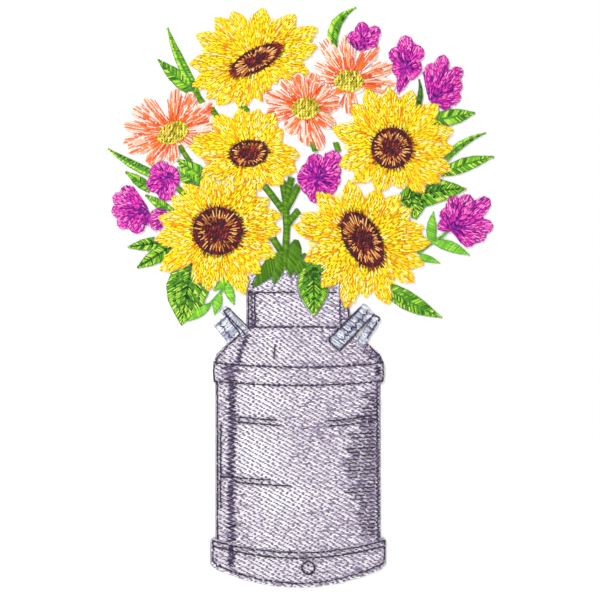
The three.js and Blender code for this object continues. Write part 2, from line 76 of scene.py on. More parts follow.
class Finish:
    """A finish, with short ways to give its shader a tint and a relief."""

    def __init__(self, name, roughness):
        self.material = bpy.data.materials.new(name)
        self.material.use_nodes = True
        self.shader = self.material.node_tree.nodes["Principled BSDF"]
        self.shader.inputs["Roughness"].default_value = roughness

    def node(self, kind, links=(), **settings):
        made = self.material.node_tree.nodes.new("ShaderNode" + kind)
        for key, value in settings.items():
            setattr(made, key, value)
        for socket, source in links:
            if hasattr(source, "links"):
                self.material.node_tree.links.new(source, made.inputs[socket])
            else:
                made.inputs[socket].default_value = source
        return made

    def work_out(self, operation, *values):
        return self.node("Math", enumerate(values), operation=operation).outputs[0]

    def place(self):
        return self.node("TexCoord").outputs["Object"]

    def noise(self, scale, detail, distortion=0.0):
        sizes = [("Scale", scale), ("Detail", detail), ("Distortion", distortion)]
        return self.node("TexNoise", [("Vector", self.place()), *sizes]).outputs[0]

    def tint(self, value, stops):
        """Colours the finish by a value, from stops that each give a level and a dye."""
        ramp = self.node("ValToRGB", [(0, value)])
        for spare in range(len(stops) - 2):
            ramp.color_ramp.elements.new(0.5)
        for element, (at, colour) in zip(ramp.color_ramp.elements, stops):
            element.position = at
            element.color = dye(*colour)
        self.material.node_tree.links.new(ramp.outputs[0], self.shader.inputs["Base Color"])

    def relief(self, strength, depth, height):
        bump = self.node("Bump", [("Strength", strength), ("Distance", depth * MM), ("Height", height)])
        self.material.node_tree.links.new(bump.outputs[0], self.shader.inputs["Normal"])


def woven_cloth():
    """Over-and-under threads as two crossed waves, one lifting where the other dips."""
    finish = Finish("white_cotton", 0.85)
    split = finish.node("SeparateXYZ", [(0, finish.place())])
    turn = 2 * math.pi / (2 * CLOTH_THREAD * MM)
    angles = [finish.work_out("MULTIPLY", split.outputs[axis], turn) for axis in ("X", "Z")]
    waves = [finish.work_out("SINE", angle) for angle in angles]
    slub = finish.noise(900.0, 3.0)
    finish.tint(slub, ((0.0, (236, 234, 232)), (1.0, (252, 251, 250))))
    finish.relief(0.5, 0.06, finish.work_out("MULTIPLY_ADD", slub, 0.7, finish.work_out("MULTIPLY", *waves)))
    finish.shader.inputs["Sheen Weight"].default_value = 0.15
    return finish.material


def put_in_scene(name, data):
    thing = bpy.data.objects.new(name, data)
    bpy.context.scene.collection.objects.link(thing)
    return thing


def cad_slab(node):
    """A CAD node's solid, open to edits, with its corners merged."""
    slab = bmesh.new()
    slab.from_mesh(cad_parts[node].data)
    bmesh.ops.remove_doubles(slab, verts=slab.verts, dist=1e-6)
    return slab


def front_edges(node):
    """The edges round a CAD slab's front face, as rows of x0, z0, x1, z1."""
    slab = cad_slab(node)
    rows = []
    for edge in slab.edges:
        if sum(face.normal.y < -0.9 for face in edge.link_faces) == 1:
            a, b = edge.verts
            rows.append((a.co.x, a.co.z, b.co.x, b.co.z))
    slab.free()
    return np.array(rows) / MM


def flat_layer(name, node, finish, cell, pucker, seed):
    """A layer with its CAD slab's outline and thickness, cut into cells so that it can wave."""
    low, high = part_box(node)
    layer = cad_slab(node)
    for axis in (0, 2):
        normal = [0, 0, 0]
        normal[axis] = 1
        for at in np.arange(low[axis] + cell * MM, high[axis], cell * MM):
            point = [0, 0, 0]
            point[axis] = at
            everything = layer.verts[:] + layer.edges[:] + layer.faces[:]
            bmesh.ops.bisect_plane(layer, geom=everything, dist=1e-7, plane_co=point, plane_no=normal)
    draw = np.random.default_rng(seed)
    turns = draw.uniform(0, 2 * math.pi, 6)
    for vert in layer.verts:
        x, z = vert.co.x / MM, vert.co.z / MM
        wave = math.sin(0.9 * x + turns[0]) * math.sin(0.8 * z + turns[1])
        wave += 0.6 * math.sin(1.9 * x + 0.7 * z + turns[2]) * math.sin(1.4 * z - 0.5 * x + turns[3])
        vert.co.y += pucker * MM * wave
    mesh = bpy.data.meshes.new(name)
    layer.to_mesh(mesh)
    layer.free()
    mesh.materials.append(finish)
    piece = put_in_scene(name, mesh)
    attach(piece, "root")
    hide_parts(node)
    return piece


cloth = flat_layer("cotton_ground", "ground_cloth", woven_cloth(), CLOTH_CELL, PUCKER, 3)


# ---- Cut-away backing ---------------------------------------------------------------------------
# White non-woven, pressed from loose fibres and dotted where it was rolled, that stiffens the cloth
# behind the stitching. It is cut back a little inside the cloth's edge.
BACKING_CELL = 2.4
BACKING_WAVE = 0.05


def pressed_fibres():
    finish = Finish("non_woven_backing", 0.9)
    fibres = finish.noise(1400.0, 6.0, 2.5)
    dots = finish.node("TexVoronoi", [("Vector", finish.place()), ("Scale", 900.0), ("Randomness", 0.15)])
    finish.tint(fibres, ((0.3, (222, 221, 217)), (0.7, (248, 247, 244))))
    finish.relief(0.6, 0.1, finish.work_out("MULTIPLY_ADD", dots.outputs["Distance"], 1.4, fibres))
    return finish.material


backing = flat_layer("cut_away_backing", "backing", pressed_fibres(), BACKING_CELL, BACKING_WAVE, 5)


# ---- Sunflower petals ---------------------------------------------------------------------------
# Long-and-short stitches in lemon and gold polyester that run out from each flower's disc to the petal tips,
# over an underlay in a darker gold, which is painted shade between the stitches. Where petals cross, the
# upper one hides the lower one's stitches.
PETAL_HALF_WIDTH = 3.4
PETAL_SHAPE = ((0, 0.5), (0.35, 0.85), (0.62, 1), (0.86, 0.64), (1, 0))  # share of length, of half width
ROW = 0.43  # between two rows of stitches
THREAD = 0.36  # width of a laid 40 weight thread
PLY_PITCH = 0.9  # one turn of the thread's twist
GAP_REACH = 0.86  # how far the petals behind reach, as a share of the ones in front
GAP_HALF_WIDTH = 3.0

cloth_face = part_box("ground_cloth")[0].y / MM


def dyed_thread(name, stops, roughness):
    """Twisted polyester thread, dyed by the stitch's own shade, whose two plies show as ridges."""
    finish = Finish(name, roughness)
    shade = finish.node("Attribute", attribute_name="shade").outputs["Fac"]
    uneven = finish.work_out("MULTIPLY_ADD", finish.noise(1500.0, 2.0), 0.16, -0.08)
    finish.tint(finish.work_out("ADD", shade, uneven), stops)
    along = finish.node("SeparateXYZ", [(0, finish.node("UVMap", uv_map="Thread").outputs[0])])
    wound = finish.work_out("MULTIPLY_ADD", along.outputs["Y"], 2.0, along.outputs["X"])
    finish.relief(0.55, 0.07, finish.work_out("SINE", finish.work_out("MULTIPLY", wound, 2 * math.pi)))
    finish.shader.inputs["Specular IOR Level"].default_value = 0.32
    return finish.material


def packed_thread(name, dark, light):
    """The underlay, which mostly shows as dark lines between the top stitches. Where its dyes are darker than
    the fill's thread, that darkness is painted shade in the gaps between the stitches.
    """
    finish = Finish(name, 0.7)
    lines = finish.noise(2200.0, 2.0)
    finish.tint(lines, ((0.35, dark), (0.65, light)))
    finish.relief(0.6, 0.1, lines)
    return finish.material


# A fill's thread and its underlay. Most fills give the underlay dyes darker than the thread, as painted shade
# between the stitches.
def thread_and_underlay(name, stops, dark, light, roughness=0.42):
    return dyed_thread(name + "_thread", stops, roughness), packed_thread(name + "_underlay", dark, light)


def inside(points, edges):
    """Which points an outline holds: a line out from each crosses it an odd number of times."""
    x, z = points[:, 0:1], points[:, 1:2]
    x0, z0, x1, z1 = edges.T
    level = np.where(z1 == z0, 1e-9, z1 - z0)
    crosses = ((z0 > z) != (z1 > z)) & (x < x0 + (z - z0) * (x1 - x0) / level)
    return crosses.sum(1) % 2 == 1


def draw_in(verts, by):
    """Moves the upright walls of a flat solid inwards."""
    moves = []
    for vert in verts:
        walls = [wall.normal.copy() for wall in vert.link_faces if abs(wall.normal.y) < 0.5]
        if walls:
            outward = sum(walls, walls[0] * 0).normalized()
            moves.append((vert, outward * -by / max(0.4, min(outward.dot(wall) for wall in walls))))
    for vert, move in moves:
        vert.co += move


INSET = 0.3  # how far the underlay stays inside the top stitches
STRAY = 0.02  # how far a needle hole strays
EDGE_FEEL = 0.35  # how far past a stitch's end the fill's edge is felt for
DIVE = 0.28  # how far an end goes down among other stitches
TURN_DOWN = 0.45  # the length over which an end goes down
BOW = (0.0, 0.92, 1.0, 0.92, 0.0)  # thickness of a stitch at its five points
sewn_through = []  # every stitch of the front, for the bobbin thread behind it


def add_underlay(made, node, face, out, padding, inset):
    """Adds a fill's own outline under its stitches as a thin pad, which has the second finish."""
    before = len(made.faces)
    made.from_mesh(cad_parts[node].data)
    made.faces.ensure_lookup_table()
    pad_faces = made.faces[before:]
    pad_verts = list({vert for pad_face in pad_faces for vert in pad_face.verts})
    draw_in(pad_verts, inset * MM)
    outermost = max(out * vert.co.y for vert in pad_verts)
    for vert in pad_verts:
        vert.co.y = (face + out * padding) * MM if out * vert.co.y > outermost - 1e-6 else face * MM
    cell = made.loops.layers.uv["OFBake"]
    low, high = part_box(node)
    for pad_face in pad_faces:
        pad_face.material_index = 1
        for corner in pad_face.loops:
            co = corner.vert.co
            up = (co.z - low.z) / (high.z - low.z)
            corner[cell].uv = (co.x - low.x) / (high.x - low.x), 0.88 + 0.12 * up
    bmesh.ops.remove_doubles(made, verts=pad_verts, dist=1e-6)


def sew(
    name, stitches, finishes, node, pile=0.8, width=THREAD, padding=0.45, face=cloth_face, out=-1,
    root=0.1, inset=INSET,
):
    """Lays every stitch, a row of x0, z0, x1, z1, shade and lift, as a bowed length of thread whose two ends
    go down: to the cloth at the fill's edge, and among the other stitches elsewhere."""
    rows = np.array(stitches, float)
    if out < 0:
        sewn_through.extend(rows.tolist())
    draw = np.random.default_rng(1)
    rows[:, 0:4] += draw.normal(0, STRAY, (len(rows), 4))
    start, end, shade, lift = rows[:, 0:2], rows[:, 2:4], rows[:, 4], rows[:, 5]
    run = end - start
    length = np.maximum(np.hypot(run[:, 0], run[:, 1]), 0.05)
    unit = run / length[:, None]
    turn_down = np.minimum(TURN_DOWN, 0.3 * length)
    edges = front_edges(node)
    crown = pile + lift - width / 2
    at_start = np.where(inside(start - EDGE_FEEL * unit, edges), crown - DIVE, root)
    at_end = np.where(inside(end + EDGE_FEEL * unit, edges), crown - DIVE, root)
    shares = [0 * length, turn_down / length, 0.5 + 0 * length, 1 - turn_down / length, 1 + 0 * length]
    heights = [at_start, crown - 0.03, crown + 0.05, crown - 0.03, at_end]
    path = np.zeros((len(rows), 5, 4))
    for k in range(5):
        path[:, k, 0] = start[:, 0] + run[:, 0] * shares[k]
        path[:, k, 1] = face + out * heights[k]
        path[:, k, 2] = start[:, 1] + run[:, 1] * shares[k]
    line = bpy.data.curves.new(name, "CURVE")
    line.dimensions = "3D"
    line.bevel_depth = width / 2 * MM
    line.bevel_resolution = 1
    for points in path * MM:
        spline = line.splines.new("POLY")
        spline.points.add(4)
        spline.points.foreach_set("co", points.ravel())
        spline.points.foreach_set("radius", BOW)
    laid = put_in_scene(name + "_line", line)
    mesh = bpy.data.meshes.new_from_object(laid.evaluated_get(bpy.context.evaluated_depsgraph_get()))
    bpy.data.objects.remove(laid)
    for layer in list(mesh.uv_layers):
        mesh.uv_layers.remove(layer)

    sides = len(mesh.vertices) // (5 * len(rows))
    mesh.attributes.new("shade", "FLOAT", "POINT").data.foreach_set("value", np.repeat(shade, 5 * sides))
    corners = np.zeros(len(mesh.loops), int)
    mesh.loops.foreach_get("vertex_index", corners)
    stitch, place = np.divmod(corners, 5 * sides)
    ring, side = np.divmod(place, sides)
    side = side.reshape(-1, 4)
    wraps = (side.max(1) == sides - 1) & (side.min(1) == 0)
    side = np.where(wraps[:, None] & (side == 0), sides, side).ravel() / sides
    share = np.array(shares)[ring, stitch]
    thread_map = mesh.uv_layers.new(name="Thread")
    thread_map.data.foreach_set("uv", np.column_stack([share * length[stitch] / PLY_PITCH, side]).ravel())
    # Each stitch also has its own cell of a map that nothing else lies on; the last row is the underlay's.
    across = math.ceil(math.sqrt(len(rows) / 4)) * 4
    down = math.ceil(len(rows) / across)
    cell_u, cell_v = 1 / across, 0.86 / down
    u = (stitch % across + 0.08 + 0.84 * side) * cell_u
    v = (stitch // across + 0.06 + 0.88 * ring / 4) * cell_v
    own_map = mesh.uv_layers.new(name="OFBake")
    own_map.data.foreach_set("uv", np.column_stack([u, v]).ravel())

    made = bmesh.new()
    made.from_mesh(mesh)
    bmesh.ops.remove_doubles(made, verts=made.verts, dist=1e-9)
    if padding:
        add_underlay(made, node, face, out, padding, inset)
    made.to_mesh(mesh)
    made.free()
    for finish in finishes:
        mesh.materials.append(finish)
    mesh.shade_smooth()
    mesh.set_sharp_from_angle(angle=math.radians(50))
    mesh.name = name
    piece = put_in_scene(name, mesh)
    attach(piece, "root")
    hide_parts(node)
    return piece


class Spindle:
    """A shape about the line from base to tip. A point of it is a share of that line and a distance to its
    left, and half_width gives how far the shape reaches there."""

    def __init__(self, base, tip, half, shape, bend=0.0):
        self.base = np.array(base, float)
        self.axis = np.array(tip, float) - self.base
        self.length = math.hypot(*self.axis)
        self.axis /= self.length
        self.left = np.array((-self.axis[1], self.axis[0]))
        self.half, self.bend = half, bend
        self.shares, self.widths = zip(*shape)

    def half_width(self, share):
        return self.half * np.interp(share, self.shares, self.widths)

    def at(self, share, side):
        aside = side + self.bend * 4 * share * (1 - share)
        return self.base + self.axis * (share * self.length) + self.left * aside

    def locate(self, points):
        away = points - self.base
        share = away @ self.axis / self.length
        return share, away @ self.left - self.bend * 4 * share * (1 - share)

    def holds(self, points):
        share, side = self.locate(points)
        return (share > 0) & (share < 1) & (np.abs(side) < self.half_width(share))


def long_and_short(shape, draw, stitch=(1.8, 3.0), row=ROW):
    """Rows along a spindle from base to tip, split into stitches of uneven length. Rows past the widest place
    run straight on to the edge, so the tip is stepped. Yields start, end, share and how far aside."""
    widest = shape.shares[int(np.argmax(shape.widths))]
    count = max(2, round(2 * shape.half / row))
    for k in range(count):
        side = shape.half * (2 * (k + 0.5) / count - 1)
        reach = [s for s in np.linspace(widest, 1, 40) if shape.half_width(s) >= abs(side)]
        stop = min(1.0, (reach[-1] if reach else widest) + draw.uniform(-0.03, 0.05))
        at = draw.uniform(0, 0.04)
        while at < stop - 0.02:
            step = draw.uniform(*stitch) / shape.length
            to = stop if at + 1.35 * step > stop else at + step
            squeeze = [min(1, shape.half_width(min(s, widest)) / shape.half) for s in (at, to)]
            flare = draw.normal(0, 0.08) + draw.uniform(0, 0.55) * (side / shape.half) ** 3
            start, end = shape.at(at, side * squeeze[0]), shape.at(to, side * squeeze[1] + flare)
            yield start, end, (at + to) / 2, side / shape.half
            if to >= stop:
                break
            at = to - 0.12 / shape.length


def bare(points):
    """Which points lie on cloth that no fill covers."""
    fills = [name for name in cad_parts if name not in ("ground_cloth", "backing", "bobbin_stitching")]
    covered = np.any([inside(points, front_edges(name)) for name in fills], axis=0)
    return inside(points, front_edges("ground_cloth")) & ~covered


def overlapping(shapes, edges, draw, shading, lowest=0, **sizes):
    """Stitches for shapes that lie over each other in a random order, after the lowest ones, which may also
    reach out over bare cloth. A stitch is left out where a shape further up covers it or outside the fill."""
    order = [*range(lowest), *(lowest + draw.permutation(len(shapes) - lowest))]
    stitches = []
    for rank, index in enumerate(order):
        shape, above = shapes[index], [shapes[i] for i in order[rank + 1:]]
        lines = list(long_and_short(shape, draw, **sizes))
        middle = np.array([(start + end) / 2 for start, end, _, _ in lines])
        shown = inside(middle, edges)
        if rank < lowest:
            shown |= bare(middle)
        covered = np.zeros(len(lines), bool)
        near_edge = np.zeros(len(lines), bool)
        for other in above:
            covered |= other.holds(middle)
            share, side = other.locate(middle)
            near_edge |= (np.abs(side) < other.half_width(share) + 0.55) & (share > 0.3) & (share < 1)
        for k, (start, end, share, aside) in enumerate(lines):
            if shown[k] and not covered[k]:
                shade = shading(draw, share, aside, near_edge[k])
                stitches.append((*start, *end, shade, 0.25 * rank / len(shapes) + draw.normal(0, 0.03)))
    return stitches


SUNFLOWERS = {
    "lower_left": ((-24, 19), (7.2, 7, 0), (
        (-18.5, -2.5), (-17.5, 4), (-17, -11.5), (-13.5, 10), (-10, 14), (-3.5, 17), (4, 16.5), (11, 15),
        (15, 9.5), (18.5, 5), (18.5, 0.5), (17, -7.5), (12.5, -12.5), (8, -18.5), (-3, -17.5), (-6.5, -15.5),
    )),
    "lower_right": ((18, 16.5), (8.8, 5.2, -60), (
        (-13.5, 14), (-4, 17.5), (5, 15), (11, 13), (14.5, 9), (18, 3.5), (20, -1), (18, -7.5),
        (15, -12.5), (7.5, -19), (1, -17), (-5, -20), (-12, -14), (-17, -6), (-20.5, 4), (-18.5, 7),
    )),
    "middle": ((-15, 41.5), (5.6, 3.9, 8), (
        (-17.5, 2), (-16.5, 4.5), (-10.5, 11.5), (-2.5, 13.5), (3, 13), (7.5, 12), (10, 7), (15, -0.5),
        (14, -5), (10, -9), (3, -11), (-6, -10), (-14, -7),
    )),
    "right": ((26.5, 43), (6, 6, 0), (
        (-7.5, 17.5), (-1, 18), (6, 17), (13.5, 13), (18, 5.5), (18, 0), (17.5, -6.5), (14, -10),
        (9.5, -13), (3.5, -12), (-4, -13), (-11, -10), (-15.5, -5), (-17.5, 6), (-11.5, 13),
    )),
    "top": ((-13, 68.5), (7.9, 3.3, 28), (
        (2, 15.5), (11.5, 13.5), (18, 9.5), (18, 4), (16, -4.5), (9.5, -6), (-7, 14.5), (-12, 12.5),
        (-17.5, 7.5), (-19.5, -1), (-18.5, -7.5), (-14.5, -11), (-11.5, -13), (-5, -14), (2, -12),
    )),
}

# The last two dyes are the underlay's, darker than the thread: painted shade between the stitches.
gold_and_lemon = thread_and_underlay("petal", (
    (0.0, (242, 146, 0)), (0.18, (254, 196, 0)), (0.4, (255, 232, 4)), (0.75, (255, 246, 40)),
    (1.0, (255, 252, 170)),
), (236, 150, 0), (255, 206, 0))


def petal_shade(draw, share, aside, near_edge):
    shade = 0.38 + 0.36 * share + draw.normal(0, 0.28)
    shade -= 0.16 * near_edge + 0.1 * (abs(aside) > 0.75)
    return float(np.clip(shade, 0, 1))


for place, (centre, disc, tips) in SUNFLOWERS.items():
    draw = np.random.default_rng(len(place) * 7 + len(tips))
    node = f"sunflower_{place}_petals"
    petals = [Spindle(centre, (centre[0] + x, centre[1] + z), PETAL_HALF_WIDTH, PETAL_SHAPE) for x, z in tips]
    turned = sorted(tips, key=lambda tip: math.atan2(tip[1], tip[0]))
    behind = []
    for (x0, z0), (x1, z1) in zip(turned, turned[1:] + turned[:1]):
        tip = centre[0] + GAP_REACH * (x0 + x1) / 2, centre[1] + GAP_REACH * (z0 + z1) / 2
        behind.append(Spindle(centre, tip, GAP_HALF_WIDTH, PETAL_SHAPE))
    stitches = overlapping(behind + petals, front_edges(node), draw, petal_shade, lowest=len(behind))
    sew(f"sunflower_{place}_petal_stitches", stitches, gold_and_lemon, node)


# ---- Sunflower discs ----------------------------------------------------------------------------
# Maroon stitches that run out over the petals' roots in ragged spikes, tan ones in a ring on top of
# them, and a cross-hatched middle of maroon and near-black thread.
DISC_PILE = 1.35
RING_PILE = 1.6

# The last two dyes are the underlay's, darker than the thread: painted shade between the stitches.
maroon = thread_and_underlay("disc", (
    (0.0, (38, 28, 40)), (0.3, (66, 12, 30)), (0.6, (118, 20, 32)), (0.85, (168, 38, 34)),
    (1.0, (190, 76, 60)),
), (34, 6, 16), (62, 14, 26))
tan_thread = dyed_thread("ring_thread", (
    (0.0, (140, 72, 30)), (0.4, (206, 128, 58)), (0.7, (238, 168, 90)), (1.0, (255, 220, 150)),
), 0.42)


def on_disc(centre, disc, share, angle):
    """The place at an angle round a tilted disc, at a share of its half axes."""
    a, b, tilt = disc
    turn = math.radians(tilt)
    u, v = a * share * np.cos(angle), b * share * np.sin(angle)
    x = centre[0] + u * math.cos(turn) - v * math.sin(turn)
    return x, centre[1] + u * math.sin(turn) + v * math.cos(turn)


def radial(centre, disc, draw, inner, outer, gap, shades, wander):
    """Stitches out from a disc's middle, between two shares of its half axes, with ragged ends."""
    middle = (inner + outer) / 2
    count = round(2 * math.pi * math.hypot(*disc[:2]) / math.sqrt(2) * middle / gap)
    stitches = []
    for k in range(count):
        angle = 2 * math.pi * (k + draw.uniform(-0.3, 0.3)) / count
        ends = []
        for share in (inner + draw.normal(0, wander), outer + draw.normal(0, wander)):
            ends += on_disc(centre, disc, share, angle)
        stitches.append((*ends, draw.uniform(*shades), draw.normal(0, 0.04)))
    return stitches


def ellipse_edges(centre, disc, share):
    """The edges of a disc's outline at a share of its half axes."""
    x, z = on_disc(centre, disc, share, np.linspace(0, 2 * math.pi, 33))
    return np.column_stack([x[:-1], z[:-1], x[1:], z[1:]])


def rows_across(edges, slope, row, stitch, shading, draw, step=0.37, gap=-0.08, wander=0.06):
    """Parallel rows that fill an outline. Each row's needle holes step on from the last row's."""
    turn = math.radians(slope)
    along = np.array((math.cos(turn), math.sin(turn)))
    across = np.array((-along[1], along[0]))
    ua, va = edges[:, 0:2] @ along, edges[:, 0:2] @ across
    ub, vb = edges[:, 2:4] @ along, edges[:, 2:4] @ across
    stitches = []
    for k, v in enumerate(np.arange(min(va.min(), vb.min()) + row / 2, max(va.max(), vb.max()), row)):
        hit = (va > v) != (vb > v)
        found = np.sort(ua[hit] + (v - va[hit]) / (vb[hit] - va[hit]) * (ub[hit] - ua[hit]))
        for first, last in zip(found[::2], found[1::2]):
            if last - first < 0.3:
                continue
            offset = (k * step % 1) * stitch
            holes = np.arange(math.floor(first / stitch) * stitch + offset, last, stitch)
            holes = [h + draw.normal(0, wander) for h in holes if h > first + 0.5 and h < last - 0.5]
            holes = [first - 0.1 + draw.normal(0, 0.12), *holes, last + 0.1 + draw.normal(0, 0.12)]
            for near, far in zip(holes, holes[1:]):
                start, end = along * (near + gap) + across * v, along * (far - gap) + across * v
                middle = (start + end) / 2
                stitches.append((*start, *end, shading(draw, *middle), draw.normal(0, 0.03)))
    return stitches


for place, (centre, disc, tips) in SUNFLOWERS.items():
    draw = np.random.default_rng(40 + len(tips))
    core = ellipse_edges(centre, disc, 0.6)
    stitches = radial(centre, disc, draw, 0.6, 0.96, 0.3, (0.2, 0.62), 0.05)
    stitches += radial(centre, disc, draw, 0.82, 1.15, 0.8, (0.2, 0.8), 0.05)
    stitches += rows_across(core, 48, 0.34, 1.6, lambda draw, x, z: draw.uniform(0.25, 1), draw)
    hatch = rows_across(core, -42, 0.62, 1.3, lambda draw, x, z: draw.uniform(0, 0.25), draw)
    stitches += [(*row[:5], row[5] + 0.14) for row in hatch if draw.uniform() < 0.7]
    sew(
        f"sunflower_{place}_disc_stitches", stitches, maroon,
        f"sunflower_{place}_disc", pile=DISC_PILE, width=0.36, padding=1.1, root=0.75,
    )
    ring = radial(centre, disc, draw, 0.5, 0.72, 0.5, (0, 0.8), 0.1)
    ring += radial(centre, disc, draw, 0.58, 0.86, 0.85, (0.3, 1), 0.08)
    sew(
        f"sunflower_{place}_ring_stitches", ring, [tan_thread],
        f"sunflower_{place}_ring", pile=RING_PILE, width=0.36, padding=0, root=1.1,
    )


# ---- Daisies ------------------------------------------------------------------------------------
# Pale peach petals with loose orange and red-orange stitches laid along them, thinning out to a
# nearly white tip, round a small button of olive stitches.
DAISY_HALF_WIDTH = 2.3
LOBE_SHAPE = ((0, 0.25), (0.4, 0.7), (0.72, 1), (0.93, 0.62), (1, 0))
DAISIES = {
    "middle": ((1.5, 54.5), (4, 3.2, 10), (
        (-12.5, 4), (-12, -2), (-7.5, 8.5), (-2.5, 10.5), (2.5, 10.5), (7, 7), (10.5, 2), (8.5, -5),
        (4.5, -12), (0, -11), (-6, -7.5),
    )),
    "right": ((14, 62.5), (4.3, 3.1, 0), (
        (-8, 12), (-0.5, 13.5), (8, 11), (13, 4.5), (13.8, -1.5), (0.5, -10), (-5.5, -7), (-10, -1),
        (-10.5, 5),
    )),
    "left": ((-37, 47.5), (4.7, 3, 25), (
        (-14.5, 2.6), (-14.8, -2.6), (-13.5, -5.2), (-7.5, -9), (-0.6, -8.8), (5.8, -3), (11.8, 2.6),
        (11.8, 8.6), (6.4, 12), (0.9, 13), (-8.8, 10), (-12.2, 7),
    )),
}

peach = thread_and_underlay("daisy", (
    (0.0, (226, 62, 0)), (0.28, (250, 116, 24)), (0.5, (255, 160, 84)), (0.75, (255, 216, 190)),
    (1.0, (255, 246, 242)),
), (255, 214, 196), (255, 246, 242))
# The last two dyes are the underlay's, darker than the thread: painted shade between the stitches.
olive = thread_and_underlay("daisy_centre", (
    (0.0, (84, 84, 4)), (0.35, (184, 168, 20)), (0.7, (234, 220, 60)), (1.0, (255, 246, 140)),
), (110, 100, 10), (176, 160, 30))


def daisy_shade(draw, share, aside, near_edge):
    vivid = draw.uniform() < 1.0 - 0.62 * share
    shade = draw.uniform(0.0, 0.42) if vivid else draw.uniform(0.6, 0.95)
    return float(np.clip(shade + 0.2 * (share - 0.5) - 0.1 * near_edge, 0, 1))


for place, (centre, button, tips) in DAISIES.items():
    draw = np.random.default_rng(60 + len(tips))
    node = f"daisy_{place}_petals"
    petals = [Spindle(centre, (centre[0] + x, centre[1] + z), DAISY_HALF_WIDTH, LOBE_SHAPE) for x, z in tips]
    stitches = overlapping(petals, front_edges(node), draw, daisy_shade, stitch=(2.4, 5.0), row=0.42)
    sew(
        f"daisy_{place}_petal_stitches", stitches, peach, node,
        pile=0.7, width=0.3, inset=0.55,
    )
    stitches = rows_across(
        ellipse_edges(centre, button, 1), 62, 0.36, 1.7, lambda draw, x, z: draw.uniform(0.25, 1), draw,
    )
    flecks = rows_across(ellipse_edges(centre, button, 0.9), 62, 1.1, 1.5, lambda draw, x, z: 0.02, draw)
    stitches += [(*row[:5], 0.12) for row in flecks if draw.uniform() < 0.5]
    sew(
        f"daisy_{place}_centre_stitches", stitches, olive,
        f"daisy_{place}_centre", pile=1.15, width=0.4, padding=0.9, root=0.6,
    )


# ---- Blossoms -----------------------------------------------------------------------------------
# Small blooms of rounded lobes, stitched out from the heart: deep violet there, magenta between and
# pink at the lobes' edges.
BLADE_SHAPE = ((0, 0.9), (0.25, 1), (0.5, 0.9), (0.75, 0.55), (1, 0))
BLOSSOMS = {
    "middle": ((5, 34), 5.4, (
        (11, 42), (4, 41.5), (0.5, 38), (-1, 35), (0.5, 30.5), (4.5, 27), (10.5, 31), (11.7, 34.5),
        (11.5, 38),
    )),
    "top": ((16.8, 71.6), 4.2, ((14.9, 77), (18.2, 79.8), (22.8, 78.2), (22.3, 75.4))),
    "tall": ((30.8, 66.4), 5, ((30.4, 75.8), (34.8, 72.8), (26.4, 72), (26.6, 66), (35.2, 67), (34, 64))),
    "upper_right": ((37.8, 56.9), 4.8, (
        (38, 67.8), (41.8, 70.2), (46.8, 66.4), (46.8, 62), (46.6, 58.2), (44, 56.2),
    )),
    "left_upper": ((-38.7, 34.4), 5, (
        (-43.3, 37.4), (-41.3, 38.8), (-37.3, 38), (-35, 35), (-44.4, 31.5), (-39.3, 27.7), (-37.3, 30),
    )),
    "left_outer": ((-44.6, 25.2), 5, (
        (-52, 31.6), (-54.6, 29), (-55, 24.8), (-53.2, 20.6), (-48.8, 18.6), (-45.9, 20.8),
    )),
    "left_lower": ((-37, 23.8), 3.6, ((-43.6, 23.8), (-44.6, 21.6), (-43.4, 19.8))),
    "right": ((44.2, 19.3), 5.2, (
        (40.5, 22.2), (42.2, 26), (44.8, 29.2), (49.2, 29.6), (55, 28.4), (52.8, 24), (56, 20.6), (54, 17.4),
        (50.9, 15.7),
    )),
}
TALL_BLOSSOM_TAIL = Spindle((31.2, 67), (28.2, 58.6), 2, BLADE_SHAPE)

# The last two dyes are the underlay's, darker than the thread: painted shade between the stitches.
violet = thread_and_underlay("blossom", (
    (0.0, (90, 4, 116)), (0.28, (156, 20, 160)), (0.5, (232, 44, 184)), (0.78, (255, 96, 204)),
    (1.0, (255, 186, 234)),
), (110, 6, 122), (184, 26, 150))


def blossom_shade(draw, share, aside, near_edge):
    shade = 0.02 + 0.84 * share + draw.normal(0, 0.25) - 0.12 * near_edge + 0.1 * abs(aside)
    return float(np.clip(shade, 0, 0.88))


for place, (heart, width, ends) in BLOSSOMS.items():
    draw = np.random.default_rng(80 + len(ends) + len(place))
    node = f"blossom_{place}"
    lobes = [Spindle(heart, end, width / 2, LOBE_SHAPE) for end in ends]
    if place == "tall":
        lobes.append(TALL_BLOSSOM_TAIL)
    stitches = overlapping(lobes, front_edges(node), draw, blossom_shade, stitch=(1.3, 2.3))
    sew(
        f"blossom_{place}_stitches", stitches, violet, node,
        pile=0.75, inset=0.5,
    )


# ---- Leaves -------------------------------------------------------------------------------------
# Broad leaves are feathered: their stitches slant out and forward from the midrib. The ones that
# show their veins have these in near-black green over the top. Blades are satin stitch, edge to edge.
LEAF_SHAPE = ((0, 0.3), (0.2, 0.85), (0.42, 1), (0.65, 0.8), (0.85, 0.38), (1, 0))
LEAF_PILE = 0.6
FEATHER_SLANT = 0.8  # how far a stitch runs forward, as a share of how far it runs out


def leaf(base, tip, width, bend=0.0):
    return Spindle(base, tip, width / 2, LEAF_SHAPE, bend)


def blade(base, tip, width, bend=0.0):
    return Spindle(base, tip, width / 2, BLADE_SHAPE, bend)


